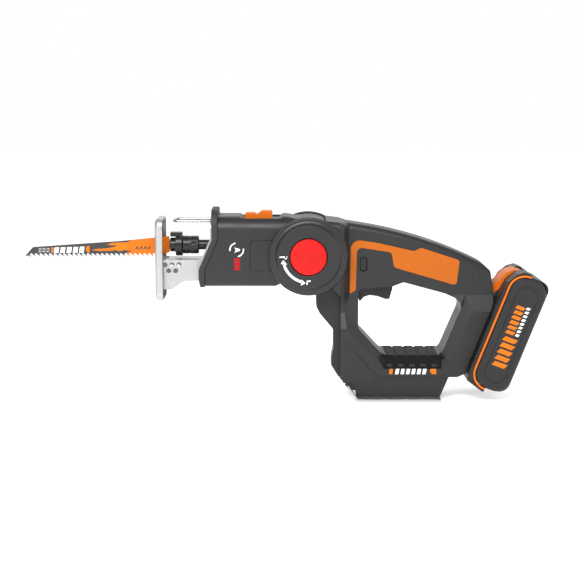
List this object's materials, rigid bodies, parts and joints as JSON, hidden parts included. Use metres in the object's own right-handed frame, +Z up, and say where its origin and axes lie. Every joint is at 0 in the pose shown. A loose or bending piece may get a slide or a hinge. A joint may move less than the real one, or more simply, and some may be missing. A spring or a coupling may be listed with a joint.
{
  "type": "reciprocating saw",
  "caption": "Cordless saw whose blade head swings between pointing forward and straight down over a flat steel sole, with a loop grip and a slide-on battery pack.",
  "frame": {"origin": "centre of the flat steel sole's underside, which the tool stands on", "axes": "+X from the blade tip towards the battery, along the tool's length; +Y to the tool's right side; +Z up, away from the sole"},
  "size_m": [0.5162, 0.0812, 0.1888],
  "materials": {
    "charcoal_plastic": "fine spark-eroded matte charcoal",
    "cover_plastic": "slightly darker satin cover",
    "collar_rubber": "soft black",
    "orange_grip": "soft orange overmould",
    "orange_trim": "satin orange",
    "pack_plastic": "matte dark grey",
    "grip_rubber": "ribbed black rubber",
    "red_plastic": "bright red, satin gloss",
    "black_plastic": "black moulding",
    "shoe_steel": "bright plated pressed steel",
    "sole_steel": "plated steel, lightly scuffed",
    "machined_steel": "ground and turned",
    "clamp_black": "black oxide",
    "blade_steel": "coated blade steel with orange shank",
    "cast_alloy": "die cast",
    "gear_steel": "oiled gear steel",
    "copper": "copper windings and contacts",
    "bronze": "sintered bronze",
    "motor_black": "black coated can",
    "magnet_grey": "ferrite",
    "board_green": "circuit board",
    "cell_wrap": "blue shrink wrap",
    "lead_red": "insulated wire",
    "zinc_screw": "zinc plated"
  },
  "bodies": {
    "root": {"left_housing": "charcoal_plastic", "right_housing": "charcoal_plastic", "left_pivot_cover": "cover_plastic", "right_pivot_cover": "cover_plastic", "left_grip_inlay": "orange_grip", "right_grip_inlay": "orange_grip", "lower_grip_pad": "grip_rubber", "sole_plate": "sole_steel", "sole_screws": "zinc_screw", "housing_screws": "zinc_screw", "switch_body": "black_plastic", "controller_board": "board_green", "power_leads": "lead_red", "battery_rail": "black_plastic", "rail_contacts": "copper", "trigger_pin": "machined_steel", "trigger_spring": "machined_steel"},
    "head": {"head_left_shell": "charcoal_plastic", "head_right_shell": "charcoal_plastic", "head_screws": "zinc_screw", "head_collar": "collar_rubber", "front_liner": "cast_alloy", "head_front_plate": "cast_alloy", "wire_guard": "machined_steel", "gearbox_frame": "cast_alloy", "plunger_bushes": "bronze", "motor_cradle": "black_plastic", "motor_can": "motor_black", "motor_end_cap": "black_plastic", "motor_bearings": "machined_steel", "motor_magnets": "magnet_grey", "crank_bearing": "machined_steel", "pivot_spring": "machined_steel", "pivot_cap": "cover_plastic"},
    "crank": {"crank_gear": "gear_steel", "crank_pin": "machined_steel"},
    "rotor": {"armature": "machined_steel", "armature_windings": "copper", "motor_shaft": "machined_steel", "motor_pinion": "gear_steel"},
    "plunger_group": {"plunger": "clamp_black", "clamp_body": "clamp_black", "clamp_pin": "machined_steel", "saw_blade": "blade_steel"},
    "clamp_ring": {"clamp_collar": "clamp_black"},
    "shoe": {"shoe_plate": "shoe_steel", "shoe_bracket": "shoe_steel", "shoe_rivets": "shoe_steel"},
    "orbit_selector": {"orbit_slider": "orange_trim"},
    "release_button": {"pivot_button": "red_plastic"},
    "trigger_body": {"trigger": "black_plastic"},
    "lock_off": {"lock_off_button": "black_plastic"},
    "battery": {"battery_outer_shell": "pack_plastic", "battery_inner_shell": "pack_plastic", "battery_trim": "orange_trim", "battery_contacts": "copper", "battery_cells": "cell_wrap", "cell_holder": "black_plastic"},
    "latch": {"battery_latch": "orange_trim"}
  },
  "joints": [
    {"name": "head_swing", "type": "hinge", "parent": "root", "child": "head", "pos_m": [-0.089, 0, 0.144], "axis": [0, -1, 0], "range_deg": [0, 90]},
    {"name": "crank_spin", "type": "hinge", "parent": "head", "child": "crank", "pos_m": [-0.11635, 0, 0.152], "axis": [0, 1, 0], "continuous": true},
    {"name": "motor_spin", "type": "hinge", "parent": "head", "child": "rotor", "pos_m": [-0.089, 0, 0.144], "axis": [0, 1, 0], "continuous": true},
    {"name": "plunger_stroke", "type": "slide", "parent": "head", "child": "plunger_group", "axis": [1, 0, 0], "range_m": [0, 0.018]},
    {"name": "collar_twist", "type": "hinge", "parent": "plunger_group", "child": "clamp_ring", "pos_m": [-0.217, 0, 0.152], "axis": [1, 0, 0], "range_deg": [0, 40], "stiffness_Nm_per_rad": 0.02},
    {"name": "shoe_slide", "type": "slide", "parent": "head", "child": "shoe", "axis": [1, 0, 0], "range_m": [0, 0.0065]},
    {"name": "orbit_slide", "type": "slide", "parent": "head", "child": "orbit_selector", "axis": [1, 0, 0], "range_m": [0, 0.005]},
    {"name": "release_press", "type": "slide", "parent": "head", "child": "release_button", "axis": [0, 1, 0], "range_m": [0, 0.004], "stiffness_N_per_m": 600, "deforming": ["pivot_spring"]},
    {"name": "trigger_pull", "type": "hinge", "parent": "root", "child": "trigger_body", "pos_m": [-0.034, 0, 0.119], "axis": [0, -1, 0], "range_deg": [0, 8], "stiffness_Nm_per_rad": 1.5, "deforming": ["trigger_spring"]},
    {"name": "lock_off_press", "type": "slide", "parent": "root", "child": "lock_off", "axis": [0, 1, 0], "range_m": [0, 0.003], "stiffness_N_per_m": 400},
    {"name": "battery_slide", "type": "slide", "parent": "root", "child": "battery", "axis": [0.3616, 0, 0.9323], "range_m": [0, 0.08]},
    {"name": "latch_press", "type": "slide", "parent": "battery", "child": "latch", "axis": [0.6, 0, -0.8], "range_m": [0, 0.0025], "stiffness_N_per_m": 900}
  ],
  "couplings": [
    {"joint": "motor_spin", "follows": "crank_spin", "ratio": -3.75}
  ]
}
